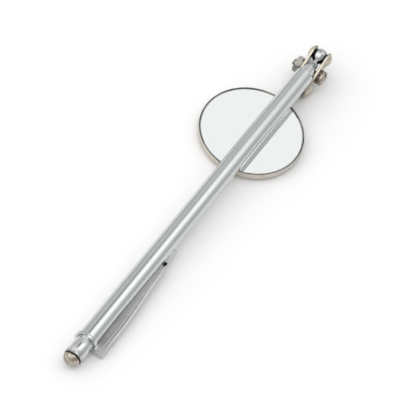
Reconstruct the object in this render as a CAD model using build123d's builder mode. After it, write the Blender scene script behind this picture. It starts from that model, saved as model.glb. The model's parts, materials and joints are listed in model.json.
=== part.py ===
"""Pocket inspection mirror: telescopic pen handle, double ball link and a round mirror folded under it.

The piece lies on a table as it is put down: the clip ring and the lower ball touch z = 0,
and +X runs along the handle towards its tip.
"""

import os
from math import asin, atan2, cos, hypot, radians, sin

from build123d import *

os.makedirs("parts", exist_ok=True)

# ---------------------------------------------------------------- driving dimensions (mm, degrees)
# Places along the handle, measured from the end face of the butt cap towards the tip.
ring_start = 6.3
ring_end = 7.4
clip_flange_end = 18.6
clip_jog = 40.4
clip_knee = 42.6
clip_bend = 45.6
clip_tip = 48.2
handle_shoulder = 125.3
mouth_ends = [126.2, 127.5, 128.9, 129.6]
collar_end = 131.2
ball_place = 134.95

# Telescopic tubes, from the handle to the innermost rod.
tube_radii = [2.95, 2.45, 2.0, 1.55, 1.1]
tube_walls = [0.3, 0.25, 0.25, 0.25, 0.4]
slide_gap = 0.05
mouth_length = 1.3
mouth_lip = 0.1
shoulder_share = 0.3
bush_length = 5.0
first_section_start = 15.0
section_step = 1.0

# Butt end.
cap_radius = 2.75
cap_edge = 0.35
cap_edge_lead = 0.12
cap_edge_step = 0.09
groove_width = 0.35
groove_depth = 0.2
spigot_end = 12.5
spigot_gap = 0.07
cap_bore = 0.8
button_radius = 2.5
button_height = 2.2
button_crown_rise = 0.8
button_crown_width = 0.6
button_brim = 0.35
button_groove = 0.25
button_neck = 2.1
button_pin_end = 4.0
press_gap = 0.01

# Pocket clip, one folded strip on the -Y side of the handle.
ring_radius = 3.4
clip_sheet = 0.5
clip_top = -0.5
clip_width = 2.6
clip_root_reach = 5.93
clip_jog_reach = 4.53
clip_knee_reach = 3.75
clip_rest_gap = 0.05
clip_tip_rise = 0.15
clip_tip_round = 1.15
clip_edge_lean = 40.0
clip_fold_round = 0.42
clip_flange_inset = 3.1
clip_flange_mouth = 15.0
clip_flange_reach = 4.35

# Ball link.
ball_radius = 2.5
ball_gap = 0.03
link_length = 11.0
link_angle = 30.45
plate_half_width = 2.5
plate_half_gap = 2.1
plate_sheet = 0.85
plate_edge = 0.15
dome_rim_radius = 2.25
dome_reach = 3.9
neck_radius = 0.95
collar_radius = 1.5
collar_groove = 0.25
bead_length = 1.0
bead_chamfer = 0.25
stud_neck_radius = 1.1
shank_radius = 0.68
shank_length = 9.0

# Clamp hardware, M2.5.
thread_radius = 1.25
thread_hole_radius = 1.35
washer_radius = 2.5
flat_washer_height = 0.35
washer_edge = 0.1
lock_washer_height = 0.9
lock_washer_radius = 2.3
lock_washer_split = 0.5
lock_washer_lean = 20.0
head_radius = 2.4
head_height = 1.5
head_edge = 0.6
slot_width = 0.6
slot_depth = 0.7
slot_turn = 35.0
nut_flats = 5.0
nut_height = 1.9
nut_bevel = 0.25
nut_corner = 2.8
nut_turn = 10.0
screw_end_reach = 0.9
thread_point = 0.25

# Mirror.
mirror_radius = 16.2
mirror_height = 2.4
case_sheet = 0.3
lip_inner_radius = 15.8
glass_radius = 15.87
glass_depth = 0.3
glass_height = 1.4
pad_height = 0.38
edge_round = 0.2
mirror_reach = 25.85
mirror_yaw = 5.6
face_drop = 3.38
strap_sheet = 0.8
strap_width = 5.0
strap_neck = 2.6
strap_back_end = -5.0
barrel_start = 17.2
barrel_end = 20.8
barrel_radius = 1.6
stem_gap = 0.02
stem_end_gap = 0.2
weld_radius = 0.7
weld_height = 0.15
weld_places = [-3.0, 4.0, 11.0]

# ---------------------------------------------------------------- frame worked out from them
link_run = link_length * cos(radians(link_angle))
link_fall = link_length * sin(radians(link_angle))
lower_ball_place = ball_place - link_run

# The handle's slope on the table: the ring's back edge and the lower ball stand on z = 0.
span = lower_ball_place - ring_start
ring_to_ball = hypot(span, link_fall - ring_radius)
tilt = asin(ball_radius / ring_to_ball) + atan2(link_fall - ring_radius, span)
mirror_side_shift = mirror_reach * sin(radians(mirror_yaw))
length_middle = (ball_place + ball_radius - button_height) / 2
pen_height = ring_radius * cos(tilt) - ring_start * sin(tilt)

pen = Plane(
    origin=(-length_middle * cos(tilt), -mirror_side_shift, pen_height),
    x_dir=(cos(tilt), 0, sin(tilt)),
    z_dir=(-sin(tilt), 0, cos(tilt)),
)
pen_side = Plane(pen.origin, x_dir=pen.x_dir, z_dir=-pen.y_dir)
pen_end = Plane(pen.origin, x_dir=pen.y_dir, z_dir=pen.x_dir)
pen_axis = Axis(pen.origin, pen.x_dir)
side_axis = Axis(pen.origin, pen.y_dir)


def pen_point(along, across=0.0, up=0.0):
    """A point given along the handle, to its +Y side and above its axis."""
    return pen.origin + pen_direction(along, across, up)


def pen_direction(along, across=0.0, up=0.0):
    """A direction given in the handle's own axes."""
    return pen.x_dir * along + pen.y_dir * across + pen.z_dir * up


upper_ball = pen_point(ball_place)
lower_ball = pen_point(lower_ball_place, 0, -link_fall)
screw_centre = (upper_ball + lower_ball) / 2

# The link's plane: x from the upper ball to the lower one, z across the two plates.
link = Plane(screw_centre, x_dir=(lower_ball - upper_ball).normalized(), z_dir=pen.y_dir)
link_side = Plane(screw_centre, x_dir=pen.y_dir, z_dir=link.x_dir)
screw_axis = Axis(screw_centre, pen.y_dir)

# The mirror's plane: origin at the centre of its rim, x towards the lower ball, z out of the glass.
yaw = radians(mirror_yaw)
mirror_centre = lower_ball + pen_direction(
    -mirror_reach * cos(yaw), mirror_reach * sin(yaw), link_fall - face_drop
)
mirror_face = Plane(mirror_centre, x_dir=pen_direction(cos(yaw), -sin(yaw)), z_dir=pen.z_dir)
mirror_side = Plane(mirror_centre, x_dir=mirror_face.x_dir, z_dir=-mirror_face.y_dir)
mirror_axis = Axis(mirror_centre, mirror_face.z_dir)
stem_depth = link_fall - face_drop


def save(piece, name):
    """Label a finished piece and write its STEP file."""
    piece.part.label = name
    export_step(piece.part, f"parts/{name}.step")


def turned(outline, plane, axis):
    """A turned piece from half its section: (distance along the axis, radius) points on plane."""
    with BuildPart() as piece:
        with BuildSketch(plane):
            with BuildLine():
                Polyline(*outline, close=True)
            make_face()
        revolve(axis=axis)
    return piece


# ---------------------------------------------------------------- telescopic handle
def telescope_tube(number, start, shoulder):
    """Tube number of the telescope, open at the back, with its front mouth rolled in."""
    outer = tube_radii[number]
    inner = outer - tube_walls[number]
    mouth = tube_radii[number + 1] + slide_gap
    end = mouth_ends[number]
    outline = [
        (start, inner),
        (start, outer),
        (shoulder, outer),
        (end, mouth + mouth_lip),
        (end, mouth),
        (end - mouth_length, mouth),
        (end - 2 * mouth_length, inner),
    ]
    return turned(outline, pen_side, pen_axis)


save(telescope_tube(0, ring_end, handle_shoulder), "handle_tube")

for number in range(1, 4):
    start = first_section_start + section_step * (number - 1)
    shoulder = mouth_ends[number - 1] + shoulder_share * (mouth_ends[number] - mouth_ends[number - 1])
    save(telescope_tube(number, start, shoulder), f"section_{number}")

rod_start = first_section_start + 3 * section_step
rod_end = mouth_ends[3]
rod_outer = tube_radii[4]
rod_inner = rod_outer - tube_walls[4]
rod_outline = [
    (rod_start, rod_inner),
    (rod_start, rod_outer),
    (rod_end, rod_outer),
    (rod_end, rod_inner),
]
save(turned(rod_outline, pen_side, pen_axis), "tip_rod")

# Brass bushes on the back ends, which run in the next larger tube and stop behind its mouth.
for number in range(1, 5):
    start = first_section_start + section_step * (number - 1)
    inner = tube_radii[number] + (stem_gap if number == 4 else press_gap)
    outer = tube_radii[number - 1] - tube_walls[number - 1] - slide_gap
    bush_outline = [
        (start, inner),
        (start, outer - slide_gap),
        (start + slide_gap, outer),
        (start + bush_length, outer),
        (start + bush_length, inner),
    ]
    save(turned(bush_outline, pen_side, pen_axis), f"slide_bush_{number}")

# ---------------------------------------------------------------- butt end
handle_inner = tube_radii[0] - tube_walls[0]
ring_bore = handle_inner - spigot_gap
cap_outline = [
    (0, cap_bore),
    (0, cap_radius - cap_edge),
    (cap_edge_lead, cap_radius - cap_edge_step),
    (cap_edge, cap_radius),
    (2 * cap_edge, cap_radius),
    (2 * cap_edge, cap_radius - groove_depth),
    (2 * cap_edge + groove_width, cap_radius - groove_depth),
    (2 * cap_edge + groove_width, cap_radius),
    (ring_start - groove_width, cap_radius),
    (ring_start - groove_width, cap_radius - groove_depth),
    (ring_start, cap_radius - groove_depth),
    (ring_start, ring_bore),
    (spigot_end, ring_bore),
    (spigot_end, cap_bore),
]
save(turned(cap_outline, pen_side, pen_axis), "butt_cap")

pin_radius = cap_bore - press_gap
with BuildPart() as end_button:
    with BuildSketch(pen_side):
        with BuildLine():
            crown = ThreePointArc(
                (-button_height, 0),
                (-button_height * button_crown_rise, button_radius * button_crown_width),
                (-button_groove - button_brim, button_radius),
            )
            Polyline(
                crown @ 1,
                (-button_groove, button_radius),
                (-button_groove, button_neck),
                (0, button_neck),
                (0, pin_radius),
                (button_pin_end, pin_radius),
                (button_pin_end, 0),
                crown @ 0,
            )
        make_face()
    revolve(axis=pen_axis)
save(end_button, "end_button")

# ---------------------------------------------------------------- pocket clip
handle_radius = tube_radii[0]
clip_rest = handle_radius + clip_rest_gap


def sheet_outline(points, sheet):
    """The closed outline of a strip of sheet whose one face follows points; it lies to their left."""
    far_side = []
    for i, (x, y) in enumerate(points):
        before = points[max(i - 1, 0)]
        after = points[min(i + 1, len(points) - 1)]
        run = hypot(after[0] - before[0], after[1] - before[1])
        left = (-(after[1] - before[1]) / run, (after[0] - before[0]) / run)
        far_side.append((x + sheet * left[0], y + sheet * left[1]))
    return points + far_side[::-1]


clip_bottom = clip_top - clip_width
clip_line = [
    (ring_start, -clip_root_reach),
    (clip_flange_end, -clip_root_reach),
    (clip_jog, -clip_jog_reach),
    (clip_knee, -clip_knee_reach),
    (clip_bend, -clip_rest - clip_sheet),
    (clip_tip, -clip_rest - clip_sheet - clip_tip_rise),
]
flange_line = [
    (ring_start, -clip_flange_inset),
    (ring_end, -clip_flange_inset),
    (clip_flange_mouth, -clip_flange_reach),
    (clip_jog, -clip_jog_reach + clip_sheet),
    (clip_jog, -clip_jog_reach + clip_sheet / 2),
    (clip_flange_end, -clip_root_reach + clip_sheet / 2),
    (ring_start, -clip_root_reach + clip_sheet / 2),
]
with BuildPart() as pocket_clip:
    with BuildSketch(pen_end.offset(ring_start)):
        Circle(ring_radius)
        with Locations((-(clip_root_reach + ring_bore) / 2, (clip_top + clip_bottom) / 2)):
            Rectangle(clip_root_reach - ring_bore, clip_width)
        Circle(ring_bore + spigot_gap, mode=Mode.SUBTRACT)
    extrude(amount=ring_end - ring_start)
    with BuildSketch(pen.offset(clip_bottom)):
        with BuildLine():
            Polyline(*sheet_outline(clip_line, clip_sheet), close=True)
        make_face()
    extrude(amount=clip_width)
    # The upper edge is folded over towards the handle and dies out at the jog.
    with BuildSketch(pen.offset(clip_top - clip_sheet)):
        with BuildLine():
            Polyline(*flange_line, close=True)
        make_face()
    extrude(amount=clip_sheet)
    tip_edges = pocket_clip.edges().filter_by(side_axis, tolerance=clip_edge_lean)
    tip_corners = tip_edges.group_by(pen_axis)[-1]
    fillet(tip_corners, radius=clip_tip_round)
    # The fold between the outer face and the flange is bent round.
    folds = ShapeList()
    for start, end in zip(clip_line[:2], clip_line[1:3]):
        middle = ((start[0] + end[0]) / 2, (start[1] + end[1]) / 2, clip_top)
        folds += pocket_clip.edges().sort_by_distance(pen.from_local_coords(middle))[:1]
    fillet(folds, radius=clip_fold_round)
save(pocket_clip, "pocket_clip")

# ---------------------------------------------------------------- double ball link
with BuildPart() as tip_ball_stud:
    with BuildSketch(pen_side):
        with BuildLine():
            Polyline(
                (rod_end - shank_length, 0),
                (rod_end - shank_length, shank_radius),
                (rod_end, shank_radius),
                (rod_end, collar_radius),
                (rod_end + collar_groove, collar_radius),
                (rod_end + collar_groove, stud_neck_radius),
                (collar_end - bead_length, stud_neck_radius),
                (collar_end - bead_length + bead_chamfer, collar_radius),
                (collar_end - bead_chamfer, collar_radius),
                (collar_end, stud_neck_radius),
                (ball_place, stud_neck_radius),
                (ball_place, 0),
                close=True,
            )
        make_face()
    revolve(axis=pen_axis)
    with Locations(Plane(upper_ball)):
        Sphere(ball_radius)
save(tip_ball_stud, "tip_ball_stud")

socket_radius = ball_radius + ball_gap
plate_face = plate_half_gap + plate_sheet
dome_height = dome_reach - plate_face
dome_curve = (dome_rim_radius**2 + dome_height**2) / (2 * dome_height)
dome_half_angle = asin(dome_rim_radius / dome_curve) / 2
for side, name in ((1, "link_plate_left"), (-1, "link_plate_right")):
    inner_face = side * plate_half_gap
    with BuildPart() as plate:
        with BuildSketch(link.offset(inner_face)):
            SlotCenterToCenter(link_length, 2 * plate_half_width)
        extrude(amount=side * plate_sheet)
        rim = plate.faces().sort_by(Axis(screw_centre, link.z_dir * side))[-1].edges()
        chamfer(rim, length=plate_edge)
        # Domes pressed outwards, hollow on the inside, seat the two balls.
        for ball in (upper_ball, lower_ball):
            with BuildSketch(Plane(ball, x_dir=link.x_dir, z_dir=link.y_dir * -side)):
                with BuildLine():
                    dome = ThreePointArc(
                        (dome_rim_radius, plate_face),
                        (
                            dome_curve * sin(dome_half_angle),
                            dome_reach - dome_curve * (1 - cos(dome_half_angle)),
                        ),
                        (0, dome_reach),
                    )
                    Polyline(
                        dome @ 1,
                        (0, plate_half_gap),
                        (dome_rim_radius, plate_half_gap),
                        dome @ 0,
                    )
                make_face()
            revolve(axis=Axis(ball, link.z_dir))
        with Locations(Plane(upper_ball, z_dir=link.z_dir), Plane(lower_ball, z_dir=link.z_dir)):
            Sphere(socket_radius, mode=Mode.SUBTRACT)
        with Locations(link):
            Cylinder(thread_hole_radius, 4 * plate_half_gap + plate_sheet, mode=Mode.SUBTRACT)
    save(plate, name)

# Clamp screw: head and split washer on the -Y side, flat washer and nut on the +Y side.
head_face = plate_face + lock_washer_height
nut_face = plate_face + flat_washer_height

with BuildPart() as lock_washer:
    with BuildSketch(link.offset(-head_face)):
        Circle(lock_washer_radius)
        Circle(thread_hole_radius, mode=Mode.SUBTRACT)
        with Locations((0, lock_washer_radius)):
            Rectangle(
                lock_washer_split,
                2 * lock_washer_radius,
                rotation=lock_washer_lean,
                mode=Mode.SUBTRACT,
            )
    extrude(amount=lock_washer_height)
save(lock_washer, "lock_washer")

with BuildPart() as flat_washer:
    with BuildSketch(link.offset(plate_face)):
        Circle(washer_radius)
        Circle(thread_hole_radius, mode=Mode.SUBTRACT)
    extrude(amount=flat_washer_height)
    washer_rims = flat_washer.edges().filter_by(GeomType.CIRCLE).group_by(SortBy.RADIUS)[-1]
    chamfer(washer_rims, length=washer_edge)
save(flat_washer, "flat_washer")

screw_tip = nut_face + nut_height + screw_end_reach
with BuildPart() as clamp_screw:
    with BuildSketch(link.offset(-head_face)):
        Circle(head_radius)
    extrude(amount=-head_height)
    head_rim = clamp_screw.faces().sort_by(Axis(screw_centre, link.z_dir))[0].edges()
    fillet(head_rim, radius=head_edge)
    with BuildSketch(link.offset(-head_face)):
        Circle(thread_radius)
    extrude(amount=head_face + screw_tip)
    tip_rim = clamp_screw.faces().sort_by(Axis(screw_centre, link.z_dir))[-1].edges()
    chamfer(tip_rim, length=thread_point)
    with BuildSketch(link.offset(-head_face - head_height)):
        Rectangle(slot_width, 3 * head_radius, rotation=slot_turn)
    extrude(amount=slot_depth, mode=Mode.SUBTRACT)
save(clamp_screw, "clamp_screw")

with BuildPart() as clamp_nut:
    with BuildSketch(link.offset(nut_face)):
        RegularPolygon(nut_flats / 2, 6, major_radius=False, rotation=nut_turn)
        Circle(thread_radius + press_gap, mode=Mode.SUBTRACT)
    extrude(amount=nut_height)
    # The corners are turned off at both ends.
    with BuildSketch(link_side):
        with BuildLine():
            Polyline(
                (nut_face, 0),
                (nut_face, nut_flats / 2),
                (nut_face + nut_bevel, nut_corner),
                (nut_face + nut_height - nut_bevel, nut_corner),
                (nut_face + nut_height, nut_flats / 2),
                (nut_face + nut_height, 0),
                close=True,
            )
        make_face()
    revolve(axis=screw_axis, mode=Mode.INTERSECT)
save(clamp_nut, "clamp_nut")

# ---------------------------------------------------------------- mirror ball and stem
with BuildPart() as mirror_ball:
    with Locations(Plane(lower_ball)):
        Sphere(ball_radius)
save(mirror_ball, "mirror_ball")

stem_inner_end = mirror_reach - barrel_start - stem_end_gap
with BuildPart() as mirror_stem:
    with BuildSketch(Plane(lower_ball, x_dir=mirror_face.y_dir, z_dir=-mirror_face.x_dir)):
        Circle(neck_radius)
    extrude(amount=stem_inner_end)
    with Locations(Plane(lower_ball)):
        Sphere(ball_radius + press_gap, mode=Mode.SUBTRACT)
save(mirror_stem, "mirror_stem")

# ---------------------------------------------------------------- mirror head
case_floor = -mirror_height
glass_top = -glass_depth
glass_bottom = glass_top - glass_height
case_inner = mirror_radius - case_sheet
with BuildPart() as mirror_case:
    with BuildSketch(mirror_side):
        with BuildLine():
            Polyline(
                (0, case_floor),
                (mirror_radius, case_floor),
                (mirror_radius, 0),
                (lip_inner_radius, 0),
                (lip_inner_radius, glass_top + press_gap),
                (case_inner, glass_top + press_gap),
                (case_inner, case_floor + case_sheet),
                (0, case_floor + case_sheet),
                close=True,
            )
        make_face()
    revolve(axis=mirror_axis)
    outer_rims = mirror_case.edges().filter_by(GeomType.CIRCLE).group_by(SortBy.RADIUS)[-1]
    fillet(outer_rims, radius=edge_round)
save(mirror_case, "mirror_case")

with BuildPart() as mirror_glass:
    with BuildSketch(mirror_face.offset(glass_bottom)):
        Circle(glass_radius)
    extrude(amount=glass_height)
save(mirror_glass, "mirror_glass")

with BuildPart() as mirror_pad:
    with BuildSketch(mirror_face.offset(case_floor + case_sheet)):
        Circle(glass_radius)
    extrude(amount=pad_height)
save(mirror_pad, "mirror_pad")

with BuildPart() as mirror_strap:
    with BuildSketch(mirror_face.offset(case_floor)):
        with BuildLine():
            Polyline(
                (strap_back_end, -strap_width / 2),
                (mirror_radius - strap_width, -strap_width / 2),
                (barrel_start, -strap_neck / 2),
                (barrel_end, -strap_neck / 2),
                (barrel_end, strap_neck / 2),
                (barrel_start, strap_neck / 2),
                (mirror_radius - strap_width, strap_width / 2),
                (strap_back_end, strap_width / 2),
                close=True,
            )
        make_face()
        with Locations((strap_back_end, 0)):
            Circle(strap_width / 2)
    extrude(amount=-strap_sheet)
    # The strap's end is rolled into a barrel round the stem.
    barrel_foot = Plane(
        mirror_face.from_local_coords((barrel_start, 0, -stem_depth)),
        x_dir=mirror_face.y_dir,
        z_dir=mirror_face.x_dir,
    )
    with BuildSketch(barrel_foot):
        Circle(barrel_radius)
    extrude(amount=barrel_end - barrel_start)
    with BuildSketch(barrel_foot):
        Circle(neck_radius + stem_gap)
    extrude(amount=barrel_end - barrel_start, mode=Mode.SUBTRACT)
    # Spot weld dimples on the back.
    with BuildSketch(mirror_face.offset(case_floor - strap_sheet + weld_height)):
        with Locations(*[(place, 0) for place in weld_places]):
            Circle(weld_radius)
    extrude(amount=-weld_height, mode=Mode.SUBTRACT)
save(mirror_strap, "mirror_strap")
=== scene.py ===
import json
import math

import bmesh
import bpy
from mathutils import Matrix, Vector


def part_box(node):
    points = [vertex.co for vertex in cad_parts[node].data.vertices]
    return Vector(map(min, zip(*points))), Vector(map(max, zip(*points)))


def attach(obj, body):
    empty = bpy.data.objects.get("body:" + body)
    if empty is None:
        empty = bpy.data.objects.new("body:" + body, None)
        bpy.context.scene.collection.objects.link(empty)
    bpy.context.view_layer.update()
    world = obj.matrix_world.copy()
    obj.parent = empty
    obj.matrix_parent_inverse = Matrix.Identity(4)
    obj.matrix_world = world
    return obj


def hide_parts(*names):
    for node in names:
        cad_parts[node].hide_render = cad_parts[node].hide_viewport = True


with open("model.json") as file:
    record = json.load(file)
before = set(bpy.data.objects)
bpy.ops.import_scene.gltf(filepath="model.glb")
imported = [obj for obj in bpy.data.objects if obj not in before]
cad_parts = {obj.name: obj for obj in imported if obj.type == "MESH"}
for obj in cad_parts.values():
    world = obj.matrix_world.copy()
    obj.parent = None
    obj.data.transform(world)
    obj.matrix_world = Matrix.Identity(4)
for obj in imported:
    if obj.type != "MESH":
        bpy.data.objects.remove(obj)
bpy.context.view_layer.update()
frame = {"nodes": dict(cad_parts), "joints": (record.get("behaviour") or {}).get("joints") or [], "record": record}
nodes = frame["nodes"]
MM = 0.001

# ------------------------------------------------------------------ the handle's own axes
joints = {j["name"]: j for j in frame["joints"]}
mounts = {m["name"]: m for m in frame["record"]["mounts"]}
pen_x = Vector(joints["section_1_slide"]["axis"]).normalized()
pen_y = -Vector(joints["link_swing"]["axis"]).normalized()
pen_z = pen_x.cross(pen_y).normalized()
upper_ball = Vector(joints["link_swing"]["pos_m"])
lower_ball = Vector(joints["mirror_swing"]["pos_m"])
CAP_MIDDLE = 3.15 * MM
pen_origin = Vector(mounts["butt_end"]["pos_m"]) - pen_x * CAP_MIDDLE
stem_x = Vector(joints["mirror_roll"]["axis"]).normalized()
mirror_y = pen_z.cross(stem_x).normalized()
glass_low, glass_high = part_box("mirror_glass")
glass_middle = (glass_low + glass_high) / 2


def in_pen(along, across, up):
    """A direction given along the handle, to its +Y side and above it."""
    return pen_x * along + pen_y * across + pen_z * up


# ------------------------------------------------------------------ node helpers
# Where plating is rubbed: reach of the worn edge in mm, and how far its normal turns.
RUBBED_RADIUS = 0.12
RUBBED_SAMPLES = 4
RUBBED_TURN = (0.02, 0.25)


class Nodes:
    """Short names for the shader nodes that the finishes and the studio light are made of."""

    def __init__(self, tree):
        self.tree = tree
        self.tree.nodes.clear()

    def put(self, socket, value):
        if isinstance(value, bpy.types.NodeSocket):
            self.tree.links.new(value, socket)
        elif isinstance(value, (tuple, list)) and socket.type == "RGBA" and len(value) == 3:
            socket.default_value = (*value, 1.0)
        else:
            socket.default_value = value

    def math(self, kind, a, b=None, clamp=False):
        node = self.tree.nodes.new("ShaderNodeMath")
        node.operation = kind
        node.use_clamp = clamp
        self.put(node.inputs[0], a)
        if b is not None:
            self.put(node.inputs[1], b)
        return node.outputs[0]

    def vmath(self, kind, a, b=None):
        node = self.tree.nodes.new("ShaderNodeVectorMath")
        node.operation = kind
        self.put(node.inputs[0], a)
        if b is not None:
            self.put(node.inputs[1], b)
        return node.outputs["Value" if kind in ("DOT_PRODUCT", "LENGTH") else "Vector"]

    def ramp(self, value, low, high, to_low=0.0, to_high=1.0):
        node = self.tree.nodes.new("ShaderNodeMapRange")
        node.interpolation_type = "SMOOTHSTEP"
        for socket, v in zip(node.inputs, (value, low, high, to_low, to_high)):
            self.put(socket, v)
        return node.outputs[0]

    def band(self, value, rise_from, rise_to, fall_from, fall_to):
        """1 between two soft edges and 0 outside them."""
        rise = self.ramp(value, rise_from, rise_to)
        return self.math("MULTIPLY", rise, self.ramp(value, fall_from, fall_to, 1.0, 0.0))

    def mix(self, factor, a, b):
        node = self.tree.nodes.new("ShaderNodeMix")
        node.data_type = "RGBA"
        self.put(node.inputs["Factor"], factor)
        self.put(node.inputs[6], a)
        self.put(node.inputs[7], b)
        return node.outputs[2]

    def noise(self, vector, scale, detail=3.0, roughness=0.5, distortion=0.0):
        node = self.tree.nodes.new("ShaderNodeTexNoise")
        for key, v in (
            ("Vector", vector),
            ("Scale", scale),
            ("Detail", detail),
            ("Roughness", roughness),
            ("Distortion", distortion),
        ):
            self.put(node.inputs[key], v)
        return node.outputs[0]

    def spots(self, vector, scale):
        node = self.tree.nodes.new("ShaderNodeTexVoronoi")
        self.put(node.inputs["Vector"], vector)
        self.put(node.inputs["Scale"], scale)
        return node.outputs["Distance"]

    def split(self, vector):
        node = self.tree.nodes.new("ShaderNodeSeparateXYZ")
        self.put(node.inputs[0], vector)
        return node.outputs


class Finish(Nodes):
    """One surface's material."""

    def __init__(self, name):
        self.mat = bpy.data.materials.new(name)
        self.mat.use_nodes = True
        super().__init__(self.mat.node_tree)
        self.out = self.tree.nodes.new("ShaderNodeOutputMaterial")

    def bump(self, height, distance):
        node = self.tree.nodes.new("ShaderNodeBump")
        self.put(node.inputs["Height"], height)
        node.inputs["Distance"].default_value = distance
        node.inputs["Strength"].default_value = 1.0
        return node.outputs[0]

    def local(self, origin, x_axis, y_axis, z_axis):
        """The surface point in millimetres along three axes from an origin."""
        coords = self.tree.nodes.new("ShaderNodeTexCoord").outputs["Object"]
        from_origin = self.vmath("SUBTRACT", coords, tuple(origin))
        join = self.tree.nodes.new("ShaderNodeCombineXYZ")
        for socket, axis in zip(join.inputs, (x_axis, y_axis, z_axis)):
            self.put(socket, self.vmath("DOT_PRODUCT", from_origin, tuple(axis / MM)))
        return join.outputs[0]

    def edge(self):
        """Near 1 on sharp edges, where handling rubs the plating."""
        bevel = self.tree.nodes.new("ShaderNodeBevel")
        bevel.samples = RUBBED_SAMPLES
        bevel.inputs["Radius"].default_value = RUBBED_RADIUS * MM
        geometry = self.tree.nodes.new("ShaderNodeNewGeometry")
        same = self.vmath("DOT_PRODUCT", bevel.outputs[0], geometry.outputs["Normal"])
        return self.ramp(self.math("SUBTRACT", 1.0, same), *RUBBED_TURN)

    def finish(self, color, roughness, normal=None, metallic=1.0, **constants):
        shader = self.tree.nodes.new("ShaderNodeBsdfPrincipled")
        self.put(shader.inputs["Base Color"], color)
        self.put(shader.inputs["Roughness"], roughness)
        shader.inputs["Metallic"].default_value = metallic
        if normal is not None:
            self.put(shader.inputs["Normal"], normal)
        for key, value in constants.items():
            shader.inputs[key.replace("_", " ")].default_value = value
        self.tree.links.new(shader.outputs[0], self.out.inputs["Surface"])
        return self.mat


def stretched(tree, vector, x, y, z):
    """Noise coordinates scaled apart along the three axes, per millimetre."""
    return tree.vmath("MULTIPLY", vector, (x, y, z))


# Plated metal: sizes of its patches per millimetre, and how much each one shows.
HAZE_SCALE = 0.22
SMUDGE_SCALE = 0.9
STAIN_SCALE = 0.55
STAIN_RANGE = (0.44, 0.72)
SPECK_SCALE = 2.2
SPECK_RADIUS = (0.03, 0.09)
SPECK_GROUP_SCALE = 0.7
SPECK_GROUP_RANGE = (0.52, 0.66)
SPECK_DARKNESS = 0.45
SPECK_DEPTH = 0.8
SPECK_ROUGHNESS = 0.2
RUBBED_SHARE = 0.7
RUBBED_ROUGHNESS = 0.06


def plated(
    name,
    color,
    tarnish,
    roughness,
    frame_axes,
    grain=(0.06, 9.0, 9.0),
    grain_height=0.0016,
    tarnish_share=0.5,
    smear=0.08,
    pit=0.5,
    edge_color=None,
    shade=None,
):
    """A bright plated finish: fine directional polish lines, smears, tiny pits and rubbed edges."""
    t = Finish(name)
    p = t.local(*frame_axes)
    lines = t.noise(stretched(t, p, *grain), 1.0, 4.0, 0.62)
    haze = t.noise(p, HAZE_SCALE, 3.0, 0.55, 0.6)
    smudge = t.noise(stretched(t, p, 0.5, 1.0, 1.0), SMUDGE_SCALE, 5.0, 0.6, 1.2)
    stain = t.ramp(t.noise(p, STAIN_SCALE, 6.0, 0.68, 0.8), *STAIN_RANGE)
    specks = t.ramp(t.spots(p, SPECK_SCALE), *SPECK_RADIUS, 1.0, 0.0)
    speck_groups = t.ramp(t.noise(p, SPECK_GROUP_SCALE, 1.0), *SPECK_GROUP_RANGE)
    specks = t.math("MULTIPLY", specks, speck_groups)
    tone = t.mix(t.math("MULTIPLY", stain, tarnish_share), color, tarnish)
    speck_tone = tuple(SPECK_DARKNESS * c for c in tarnish)
    tone = t.mix(t.math("MULTIPLY", specks, pit), tone, speck_tone)
    worn = t.edge()
    if edge_color is not None:
        tone = t.mix(t.math("MULTIPLY", worn, RUBBED_SHARE), tone, edge_color)
    # Where a finish is given one, shade adds painted shade and painted reflections to the colour (and the button's
    # olive patches).
    if shade is not None:
        tone = shade(t, p, tone)
    uneven = t.math("MULTIPLY", t.math("SUBTRACT", haze, 0.5), 2 * smear)
    rough = t.math("ADD", roughness, uneven)
    rough = t.math("ADD", rough, t.math("MULTIPLY", t.ramp(smudge, 0.5, 0.75), smear))
    rough = t.math("ADD", rough, t.math("MULTIPLY", worn, RUBBED_ROUGHNESS))
    rough = t.math("ADD", rough, t.math("MULTIPLY", specks, SPECK_ROUGHNESS), clamp=True)
    height = t.math("SUBTRACT", lines, t.math("MULTIPLY", specks, SPECK_DEPTH))
    return t.finish(tone, rough, t.bump(height, grain_height * MM))


# Places of the painted shade and painted reflections, in millimetres along the piece's own axes.
CAP_GAP_SHADE = (0.16, 0.52)
BUTTON_SHADED_SIDE = (0.9, -1.9)
BUTTON_ROOT_SHADE = (-0.34, -0.16)
PLATE_INNER = 2.1
PLATE_SHADE_DEPTH = (PLATE_INNER + 0.04, PLATE_INNER + 0.16)
CLIP_DARK_START = 16.0
CLIP_DARK_END = 42.0
CLIP_DARK_REACH = (5.93, 4.5)
FOLD_DARK_INSET = (0.42, 0.62, 0.74, 1.0)
FLANGE_DARK_INSET = (1.28, 1.5)
CLIP_DARK_FADE_IN = (6.6, 9.5)
CLIP_DARK_FADE_OUT = (33.0, 24.0)
LIP_HEIGHT = (0.78, 0.98)


def cap_gap_shade(t, p, tone):
    """Painted shade: the cap's edge darkened near black where it meets the button."""
    near = t.ramp(t.split(p)[0], *CAP_GAP_SHADE, 1.0, 0.0)
    return t.mix(near, tone, (0.09, 0.08, 0.07))


def mottled_and_shaded(t, p, tone):
    """Handled nickel with olive patches, a painted dark brown reflection towards the floor side, and painted shade
    at the root beside the cap.
    """
    patch = t.ramp(t.noise(p, 0.85, 4.0, 0.62, 1.0), 0.42, 0.60)
    tone = t.mix(t.math("MULTIPLY", patch, 0.7), tone, (0.27, 0.235, 0.175))
    # Painted reflection: darker brown towards the floor side.
    under = t.ramp(t.split(p)[2], *BUTTON_SHADED_SIDE)
    tone = t.mix(t.math("MULTIPLY", under, 0.6), tone, (0.20, 0.15, 0.105))
    # Painted shade at the button's root, where it meets the cap.
    root = t.ramp(t.split(p)[0], *BUTTON_ROOT_SHADE)
    return t.mix(root, tone, (0.07, 0.06, 0.05))


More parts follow.
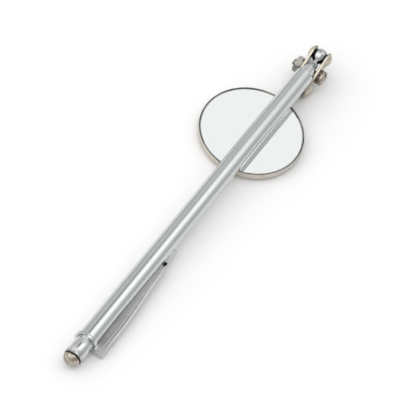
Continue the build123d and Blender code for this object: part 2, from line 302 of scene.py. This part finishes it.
def plate_inner_shade(t, p, tone):
    """Painted shade, near black, on the plates' inner faces."""
    depth = t.math("ABSOLUTE", t.split(p)[2])
    inside = t.ramp(depth, *PLATE_SHADE_DEPTH, 1.0, 0.0)
    return t.mix(t.math("MULTIPLY", inside, 0.93), tone, (0.035, 0.032, 0.03))


def clip_painted_reflection(t, p, tone):
    """Painted reflection: a dark band beside the clip's fold and a darker flange, both fading at the ends."""
    axes = t.split(p)
    along = axes[0]
    outer = t.ramp(along, CLIP_DARK_START, CLIP_DARK_END, *CLIP_DARK_REACH)
    inset = t.math("ADD", axes[1], outer)
    fold_band = t.band(inset, *FOLD_DARK_INSET)
    flange = t.ramp(inset, *FLANGE_DARK_INSET)
    dark = t.math("MULTIPLY", t.math("MAXIMUM", fold_band, flange), 0.5)
    dark = t.math("MULTIPLY", dark, t.ramp(along, *CLIP_DARK_FADE_OUT))
    dark = t.math("MULTIPLY", dark, t.ramp(along, *CLIP_DARK_FADE_IN))
    return t.mix(dark, tone, (0.17, 0.18, 0.18))


def lip_painted_dark(t, p, tone):
    """The lip that is crimped over the glass, painted dark in patches along it: a painted reflection of dark
    surroundings.
    """
    lip = t.ramp(t.split(p)[2], *LIP_HEIGHT)
    patches = t.ramp(t.noise(p, 0.16, 3.0, 0.6), 0.40, 0.62)
    dark = t.mix(patches, (0.215, 0.21, 0.2), (0.075, 0.075, 0.072))
    return t.mix(lip, tone, dark)


pen_axes = (pen_origin, pen_x, pen_y, pen_z)
link_x = (lower_ball - upper_ball).normalized()
screw_low, screw_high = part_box("clamp_screw")
screw_middle = (upper_ball + lower_ball) / 2
link_axes = (screw_middle, link_x, pen_y.cross(link_x), pen_y)
mirror_axes = (glass_middle, stem_x, mirror_y, pen_z)
stem_axes = (lower_ball, stem_x, mirror_y, pen_z)

# ------------------------------------------------------------------ finishes
finish = {}
finish["handle_chrome"] = plated(
    "handle_chrome", (0.615, 0.63, 0.635), (0.50, 0.50, 0.50), 0.17, pen_axes,
    tarnish_share=0.12, smear=0.035, pit=0.25, edge_color=(0.86, 0.86, 0.86),
)
finish["cap_chrome"] = plated(
    "cap_chrome", (0.62, 0.63, 0.64), (0.44, 0.43, 0.41), 0.12, pen_axes,
    grain=(9.0, 0.25, 0.25), grain_height=0.0022, tarnish_share=0.2, smear=0.04, pit=0.3,
    edge_color=(0.78, 0.78, 0.78), shade=cap_gap_shade,
)
finish["section_chrome"] = plated(
    "section_chrome", (0.62, 0.635, 0.64), (0.46, 0.45, 0.43), 0.13, pen_axes,
    tarnish_share=0.2, smear=0.05, pit=0.35, edge_color=(0.86, 0.86, 0.85),
)
finish["rod_chrome"] = plated(
    "rod_chrome", (0.62, 0.63, 0.63), (0.46, 0.44, 0.41), 0.12, pen_axes,
    tarnish_share=0.2, smear=0.05, pit=0.35, edge_color=(0.86, 0.86, 0.85),
)
finish["clip_chrome"] = plated(
    "clip_chrome", (0.62, 0.63, 0.635), (0.42, 0.41, 0.39), 0.12, pen_axes,
    grain=(0.5, 5.0, 5.0), grain_height=0.0022, tarnish_share=0.2, smear=0.05, pit=0.4,
    edge_color=(0.86, 0.86, 0.86), shade=clip_painted_reflection,
)
finish["button_nickel"] = plated(
    "button_nickel", (0.53, 0.49, 0.42), (0.30, 0.23, 0.16), 0.2, pen_axes,
    grain=(8.0, 0.8, 0.8), grain_height=0.006, tarnish_share=0.65, smear=0.09, pit=0.6,
    shade=mottled_and_shaded,
)
finish["bush_brass"] = plated(
    "bush_brass", (0.78, 0.58, 0.28), (0.42, 0.27, 0.12), 0.28, pen_axes,
    grain=(12.0, 0.3, 0.3), grain_height=0.005, tarnish_share=0.6, smear=0.1,
    edge_color=(0.90, 0.72, 0.42),
)
finish["ball_steel"] = plated(
    "ball_steel", (0.53, 0.54, 0.55), (0.30, 0.28, 0.25), 0.08, pen_axes,
    grain=(6.0, 1.0, 1.0), grain_height=0.002, tarnish_share=0.3, smear=0.04, pit=0.5,
    edge_color=(0.88, 0.87, 0.85),
)
finish["mirror_ball_steel"] = plated(
    "mirror_ball_steel", (0.60, 0.59, 0.57), (0.34, 0.30, 0.25), 0.10, stem_axes,
    grain=(6.0, 1.0, 1.0), grain_height=0.002, tarnish_share=0.35, smear=0.04, pit=0.5,
)
finish["plate_nickel"] = plated(
    "plate_nickel", (0.54, 0.50, 0.42), (0.33, 0.285, 0.20), 0.24, link_axes,
    grain=(1.2, 1.2, 1.2), grain_height=0.008, tarnish_share=0.6, smear=0.1, pit=0.7,
    shade=plate_inner_shade,
)
finish["screw_nickel"] = plated(
    "screw_nickel", (0.40, 0.355, 0.31), (0.19, 0.145, 0.11), 0.18, link_axes,
    grain=(1.5, 1.5, 7.0), grain_height=0.005, tarnish_share=0.6, smear=0.08, pit=0.7,
    edge_color=(0.86, 0.82, 0.76),
)
finish["nut_nickel"] = plated(
    "nut_nickel", (0.265, 0.26, 0.24), (0.15, 0.13, 0.09), 0.16, link_axes,
    grain=(5.0, 5.0, 0.6), grain_height=0.005, tarnish_share=0.5, smear=0.08, pit=0.6,
    edge_color=(0.72, 0.70, 0.65),
)
finish["washer_steel"] = plated(
    "washer_steel", (0.20, 0.165, 0.135), (0.10, 0.06, 0.04), 0.34, link_axes,
    grain=(3.0, 3.0, 3.0), grain_height=0.008, tarnish_share=0.8, smear=0.1, pit=0.7,
    edge_color=(0.55, 0.50, 0.44),
)
finish["flat_washer_nickel"] = plated(
    "flat_washer_nickel", (0.48, 0.45, 0.39), (0.26, 0.21, 0.15), 0.26, link_axes,
    grain=(3.0, 3.0, 3.0), grain_height=0.006, tarnish_share=0.6, smear=0.08, pit=0.6,
    edge_color=(0.85, 0.81, 0.75),
)
finish["stem_nickel"] = plated(
    "stem_nickel", (0.58, 0.55, 0.49), (0.34, 0.29, 0.22), 0.16, stem_axes,
    grain=(9.0, 0.5, 0.5), grain_height=0.004, tarnish_share=0.45, smear=0.06, pit=0.5,
)
finish["strap_nickel"] = plated(
    "strap_nickel", (0.60, 0.56, 0.49), (0.36, 0.31, 0.23), 0.22, mirror_axes,
    grain=(0.4, 7.0, 7.0), grain_height=0.006, tarnish_share=0.5, smear=0.1, pit=0.6,
    edge_color=(0.90, 0.87, 0.81),
)
finish["case_nickel"] = plated(
    "case_nickel", (0.66, 0.62, 0.55), (0.42, 0.37, 0.28), 0.17, mirror_axes,
    grain=(0.35, 0.35, 10.0), grain_height=0.004, tarnish_share=0.45, smear=0.07, pit=0.6,
    shade=lip_painted_dark,
)


RIM_BAND = (15.38, 15.68)
RIM_WAVER = 0.28
DUST_RADIUS = (0.025, 0.06)
CLEAN_ROUGHNESS = 0.012


def silvered_glass():
    """Bright silvering behind glass, darker and rougher along the rim, with faint wipe marks and dust."""
    t = Finish("mirror_face")
    p = t.local(*mirror_axes)
    flat = t.vmath("MULTIPLY", p, (1.0, 1.0, 0.0))
    radius = t.vmath("LENGTH", flat)
    waver = t.math("SUBTRACT", t.noise(flat, 0.9, 4.0, 0.6), 0.5)
    waver = t.math("MULTIPLY", waver, RIM_WAVER)
    rim = t.ramp(t.math("ADD", radius, waver), *RIM_BAND)
    wipe = t.noise(stretched(t, flat, 0.05, 1.4, 1.0), 1.0, 4.0, 0.6, 0.4)
    film = t.ramp(t.noise(flat, 0.12, 4.0, 0.6, 0.8), 0.42, 0.75)
    dust = t.ramp(t.spots(flat, 1.1), *DUST_RADIUS, 1.0, 0.0)
    dust = t.math("MULTIPLY", dust, t.ramp(t.noise(flat, 0.5, 1.0), 0.5, 0.6))
    tone = t.mix(t.math("MULTIPLY", rim, 0.8), (0.90, 0.93, 0.92), (0.23, 0.23, 0.225))
    tone = t.mix(t.math("MULTIPLY", dust, 0.3), tone, (0.55, 0.55, 0.54))
    wiped = t.math("MULTIPLY", t.math("MULTIPLY", film, wipe), 0.035)
    rough = t.math("ADD", CLEAN_ROUGHNESS, wiped)
    rough = t.math("ADD", rough, t.math("MULTIPLY", dust, 0.25))
    rough = t.math("ADD", rough, t.math("MULTIPLY", rim, 0.12), clamp=True)
    return t.finish(tone, rough, Coat_Weight=1.0, Coat_Roughness=0.015, Coat_IOR=1.5)


def pressed_card():
    """Fibrous brown card."""
    t = Finish("pad_card")
    p = t.local(*mirror_axes)
    fibre = t.noise(stretched(t, p, 1.0, 4.0, 4.0), 2.0, 5.0, 0.7)
    tone = t.mix(t.ramp(fibre, 0.3, 0.7), (0.30, 0.24, 0.17), (0.50, 0.43, 0.33))
    return t.finish(tone, 0.85, t.bump(fibre, 0.05 * MM), metallic=0.0)


finish["mirror_face"] = silvered_glass()
finish["pad_card"] = pressed_card()

for sub in frame["record"]["subparts"]:
    mesh = nodes[sub["node"]].data
    mesh.materials.clear()
    mesh.materials.append(finish[sub["material_slot"]])

# ------------------------------------------------------------------ clamp screw
HEAD_RADIUS = 2.4
HEAD_HEIGHT = 1.5
HEAD_WALL = 0.75
SHANK_RADIUS = 1.24
THREAD_DEPTH = 0.24
THREAD_PITCH = 0.45
THREAD_POINT = 0.32
SLOT_WIDTH = 0.6
SLOT_DEPTH = 0.7
SLOT_TURN = math.radians(35.0)
AROUND = 56
HEAD_ROUNDNESS = 0.8
HEAD_STEPS = 14
HEAD_CHAMFER = 0.08
CREST_SHARE = 0.18
FLANK_SHARE = 0.62
POINT_TAPER = 0.8
THREAD_STEP = 0.05
SLOT_MOUTH_DEPTH = 0.14
SLOT_MOUTH_FLARE = 0.28
SLOT_OVERSHOOT = 0.2
screw_start = (screw_low.y - screw_middle.y) / MM
screw_end = (screw_high.y - screw_middle.y) / MM
head_under = screw_start + HEAD_HEIGHT
plate_inner = (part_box("link_plate_right")[1].y - screw_middle.y) / MM


def screw_point(radius, angle, along):
    """A point on the screw, whose axis is the link's cross direction."""
    around = link_x * math.cos(angle) + pen_y.cross(link_x) * math.sin(angle)
    return screw_middle + (around * radius + pen_y * along) * MM


def thread_radius(angle, along):
    """A rolled thread: flat crests and roots, running out at the head and at the point."""
    turn = (along / THREAD_PITCH - angle / (2 * math.pi)) % 1.0
    flank = min(max((abs(2 * turn - 1) - CREST_SHARE) / FLANK_SHARE, 0.0), 1.0)
    run_in = min(max((along - plate_inner) / THREAD_PITCH, 0.0), 1.0)
    point = max(along - (screw_end - THREAD_POINT), 0.0)
    return SHANK_RADIUS - THREAD_DEPTH * flank * run_in - POINT_TAPER * point


def screw_rows():
    """Rings along the screw from the middle of the head's face to the middle of the point."""
    rows = []
    crown = HEAD_HEIGHT - HEAD_WALL
    for step in range(1, HEAD_STEPS + 1):
        angle = step / HEAD_STEPS * math.pi / 2
        radius = HEAD_RADIUS * math.sin(angle) ** HEAD_ROUNDNESS
        along = screw_start + crown * (1 - math.cos(angle))
        rows.append([(radius, along)] * AROUND)
    rows.append([(HEAD_RADIUS, head_under - HEAD_CHAMFER)] * AROUND)
    rows.append([(HEAD_RADIUS - HEAD_CHAMFER, head_under)] * AROUND)
    rows.append([(SHANK_RADIUS, head_under)] * AROUND)
    count = int((screw_end - head_under) / THREAD_STEP)
    for step in range(1, count + 1):
        along = head_under + (screw_end - head_under) * step / count
        rows.append(
            [(thread_radius(2 * math.pi * k / AROUND, along), along) for k in range(AROUND)]
        )
    return rows


def skin(bm, rings, first, last):
    """Close a stack of rings of vertices with quads and a fan at each end."""
    for low, high in zip(rings, rings[1:]):
        for k in range(len(low)):
            n = (k + 1) % len(low)
            bm.faces.new((low[k], low[n], high[n], high[k]))
    for pole, ring in ((first, rings[0]), (last, rings[-1])):
        for k in range(len(ring)):
            bm.faces.new((pole, ring[k], ring[(k + 1) % len(ring)]))
    bmesh.ops.recalc_face_normals(bm, faces=bm.faces)


def as_object(bm, name):
    """The finished mesh as an object in the scene."""
    mesh = bpy.data.meshes.new(name)
    bm.to_mesh(mesh)
    bm.free()
    made = bpy.data.objects.new(name, mesh)
    bpy.context.scene.collection.objects.link(made)
    return made


bm = bmesh.new()
rings = [
    [bm.verts.new(screw_point(r, 2 * math.pi * k / AROUND, y)) for k, (r, y) in enumerate(row)]
    for row in screw_rows()
]
skin(
    bm,
    rings,
    bm.verts.new(screw_point(0.0, 0.0, screw_start)),
    bm.verts.new(screw_point(0.0, 0.0, screw_end)),
)
screw = as_object(bm, "clamp_screw_detail")

# The driver slot, with its mouth broken at both edges.
bm = bmesh.new()
slot_profile = [
    (-SLOT_WIDTH / 2 - SLOT_MOUTH_FLARE, screw_start - SLOT_OVERSHOOT),
    (-SLOT_WIDTH / 2, screw_start + SLOT_MOUTH_DEPTH),
    (-SLOT_WIDTH / 2, screw_start + SLOT_DEPTH),
    (SLOT_WIDTH / 2, screw_start + SLOT_DEPTH),
    (SLOT_WIDTH / 2, screw_start + SLOT_MOUTH_DEPTH),
    (SLOT_WIDTH / 2 + SLOT_MOUTH_FLARE, screw_start - SLOT_OVERSHOOT),
]
slot_way = link_x * math.cos(SLOT_TURN) + pen_y.cross(link_x) * math.sin(SLOT_TURN)
slot_side = slot_way.cross(pen_y)
ends = []
for reach in (-1.5 * HEAD_RADIUS, 1.5 * HEAD_RADIUS):
    ends.append(
        [
            bm.verts.new(screw_middle + (slot_way * side + slot_side * reach + pen_y * y) * MM)
            for side, y in slot_profile
        ]
    )
for k in range(len(slot_profile)):
    n = (k + 1) % len(slot_profile)
    bm.faces.new((ends[0][k], ends[0][n], ends[1][n], ends[1][k]))
bm.faces.new(ends[0])
bm.faces.new(ends[1])
bmesh.ops.recalc_face_normals(bm, faces=bm.faces)
cutter = as_object(bm, "slot_cutter")
cut = screw.modifiers.new("slot", "BOOLEAN")
cut.operation = "DIFFERENCE"
cut.solver = "EXACT"
cut.object = cutter
bpy.context.view_layer.update()
finished = bpy.data.meshes.new_from_object(
    screw.evaluated_get(bpy.context.evaluated_depsgraph_get())
)
screw.modifiers.clear()
screw.data = finished
bpy.data.objects.remove(cutter)
screw.data.shade_smooth()
screw.data.set_sharp_from_angle(angle=math.radians(32.0))
screw.data.materials.clear()
screw.data.materials.append(finish["screw_nickel"])
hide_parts("clamp_screw")
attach(screw, "link")

# ------------------------------------------------------------------ clip pip
# A near-black pip through the strip where the clip bends in: a dark piece put in for the shadowed hole there, a
# painted shadow.
PIP_AROUND = 32
PIP_PLACE = (41.8, -0.86)
PIP_RADIUS = 0.66
PIP_INNER = -3.0
PIP_OUTER = -3.95


def painted_shadow_black():
    """Near black with a dull sheen and mottled spots: painted shadow."""
    t = Finish("pip_painted_shadow")
    p = t.local(*pen_axes)
    mottle = t.noise(p, 3.5, 4.0, 0.6)
    tone = t.mix(t.ramp(mottle, 0.45, 0.7), (0.006, 0.006, 0.007), (0.02, 0.019, 0.018))
    return t.finish(tone, t.ramp(mottle, 0.2, 0.8, 0.42, 0.6), t.bump(mottle, 0.01 * MM))


bm = bmesh.new()
pip_rings = []
for radius, across in (
    (0.8, PIP_INNER),
    (0.96, PIP_INNER - 0.04),
    (1.0, PIP_INNER - 0.12),
    (1.0, PIP_OUTER + 0.2),
    (0.9, PIP_OUTER + 0.07),
    (0.5, PIP_OUTER),
):
    ring = []
    for k in range(PIP_AROUND):
        angle = 2 * math.pi * k / PIP_AROUND
        along = PIP_PLACE[0] + PIP_RADIUS * radius * math.cos(angle)
        up = PIP_PLACE[1] + PIP_RADIUS * radius * math.sin(angle)
        ring.append(bm.verts.new(pen_origin + in_pen(along, across, up) * MM))
    pip_rings.append(ring)
pip_ends = [
    bm.verts.new(pen_origin + in_pen(PIP_PLACE[0], across, PIP_PLACE[1]) * MM)
    for across in (PIP_INNER, PIP_OUTER)
]
skin(bm, pip_rings, *pip_ends)
pip = as_object(bm, "clip_shadow_pip")
pip.data.shade_smooth()
pip.data.set_sharp_from_angle(angle=math.radians(60.0))
pip.data.materials.append(painted_shadow_black())
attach(pip, "handle")

# ------------------------------------------------------------------ broken edges
WELD_REACH = 0.0005
BREAK_SEGMENTS = 3
BREAK_FROM_ANGLE = math.radians(38.0)
EDGE_BREAK = {
    "pocket_clip": 0.07,
    "link_plate_left": 0.07,
    "link_plate_right": 0.07,
    "clamp_nut": 0.07,
    "lock_washer": 0.06,
    "flat_washer": 0.04,
    "mirror_strap": 0.08,
    "butt_cap": 0.04,
}
for name, width in EDGE_BREAK.items():
    weld = nodes[name].modifiers.new("weld", "WELD")
    weld.merge_threshold = WELD_REACH * MM
    bevel = nodes[name].modifiers.new("edge_break", "BEVEL")
    bevel.width = width * MM
    bevel.segments = BREAK_SEGMENTS
    bevel.limit_method = "ANGLE"
    bevel.angle_limit = BREAK_FROM_ANGLE
    bevel.harden_normals = True

# ------------------------------------------------------------------ stage
FLOOR_HALF = 3.0


def pale_floor():
    """Matt white paper."""
    t = Finish("stage_paper")
    coords = t.tree.nodes.new("ShaderNodeTexCoord").outputs["Object"]
    fibre = t.noise(coords, 900.0, 4.0, 0.6)
    cloud = t.noise(coords, 6.0, 2.0)
    tone = t.mix(cloud, (0.95, 0.95, 0.95), (0.965, 0.965, 0.965))
    return t.finish(tone, 0.75, t.bump(fibre, 0.02 * MM), metallic=0.0, Specular_IOR_Level=0.2)


bm = bmesh.new()
corners = [(-1, -1), (1, -1), (1, 1), (-1, 1)]
bm.faces.new([bm.verts.new((x * FLOOR_HALF, y * FLOOR_HALF, 0.0)) for x, y in corners])
floor_mesh = bpy.data.meshes.new("stage_floor")
bm.to_mesh(floor_mesh)
bm.free()
floor_mesh.materials.append(pale_floor())
floor = bpy.data.objects.new("stage_floor", floor_mesh)
bpy.context.scene.collection.objects.link(floor)

# ------------------------------------------------------------------ studio light
world = bpy.data.worlds.new("studio")
bpy.context.scene.world = world
world.use_nodes = True
w = Nodes(world.node_tree)
w_out = w.tree.nodes.new("ShaderNodeOutputWorld")
direction = w.tree.nodes.new("ShaderNodeTexCoord").outputs["Generated"]
dx, dy, dz = (w.vmath("DOT_PRODUCT", direction, tuple(axis)) for axis in (pen_x, pen_y, pen_z))
around = w.math("MULTIPLY", w.math("ARCTAN2", dz, dy), 180 / math.pi)
# Soft bands over pale walls. "Around" is the angle round the handle in degrees, from its +Y side
# over the top; dx, dy and dz are the direction's parts along the handle's axes.
WALL_LEVEL = 0.74
LEAST_LEVEL = 0.02
overhead = w.math(
    "MULTIPLY",
    w.band(around, 83.0, 97.0, 102.0, 146.0),
    w.math("MULTIPLY", w.ramp(dx, 0.56, 0.595, 1.0, 0.2), w.ramp(dx, 0.1, 0.3)),
)
dark_slit = w.math(
    "MULTIPLY", w.band(around, 56.0, 63.0, 70.0, 80.0), w.ramp(dx, 0.485, 0.53, 1.0, 0.0)
)
front = w.math(
    "MULTIPLY", w.band(around, 66.0, 73.0, 84.0, 100.0), w.ramp(dx, 0.53, 0.555)
)
far_dip = w.band(around, 132.0, 146.0, 160.0, 178.0)
far_right = w.math("MULTIPLY", w.ramp(dy, 0.1, -0.25), w.ramp(dx, 0.42, 0.25))
main_way = tuple(in_pen(-0.42, 0.34, 0.84).normalized())
main_light = w.ramp(w.vmath("DOT_PRODUCT", direction, main_way), 0.70, 0.92)
behind = w.ramp(dx, 0.40, 0.28)
low_wall = w.math(
    "MULTIPLY", w.band(around, -24.0, -6.0, 10.0, 30.0), w.ramp(dx, 0.3, 0.4)
)
level = WALL_LEVEL
for share, strength in (
    (overhead, 0.95),
    (dark_slit, -0.5),
    (front, 0.2),
    (far_dip, -0.12),
    (far_right, -0.25),
    (main_light, 1.05),
    (behind, 0.14),
    (low_wall, -0.16),
):
    level = w.math("ADD", level, w.math("MULTIPLY", share, strength))
level = w.math("MAXIMUM", level, LEAST_LEVEL)
# The object is lit by the bands; the camera itself sees plain white behind the floor.
lit = w.tree.nodes.new("ShaderNodeBackground")
lit.inputs["Color"].default_value = (1.0, 1.0, 1.0, 1.0)
w.tree.links.new(level, lit.inputs["Strength"])
plain = w.tree.nodes.new("ShaderNodeBackground")
plain.inputs["Color"].default_value = (1.0, 1.0, 1.0, 1.0)
seen = w.tree.nodes.new("ShaderNodeLightPath")
choose = w.tree.nodes.new("ShaderNodeMixShader")
w.tree.links.new(seen.outputs["Is Camera Ray"], choose.inputs[0])
w.tree.links.new(lit.outputs[0], choose.inputs[1])
w.tree.links.new(plain.outputs[0], choose.inputs[2])
w.tree.links.new(choose.outputs[0], w_out.inputs["Surface"])

# ------------------------------------------------------------------ camera
camera_data = bpy.data.cameras.new("view_camera")
camera = bpy.data.objects.new("view_camera", camera_data)
bpy.context.scene.collection.objects.link(camera)
camera_right = in_pen(0.533415, -0.829157, 0.167233)
camera_up = in_pen(0.648667, 0.527878, 0.548248)
camera_back = in_pen(-0.542863, -0.183965, 0.819425)
camera_place = pen_origin + in_pen(-257.092, -109.284, 487.882) * MM
turn = Matrix((camera_right, camera_up, camera_back)).transposed()
camera.matrix_world = Matrix.Translation(camera_place) @ turn.to_4x4()
camera_data.sensor_width = 36.0
camera_data.lens = 184.218
camera_data.shift_x = -0.00125
camera_data.shift_y = 0.00125
camera_data.clip_start = 0.01
camera_data.clip_end = 20.0
bpy.context.scene.camera = camera
bpy.context.scene.view_settings.view_transform = "Standard"
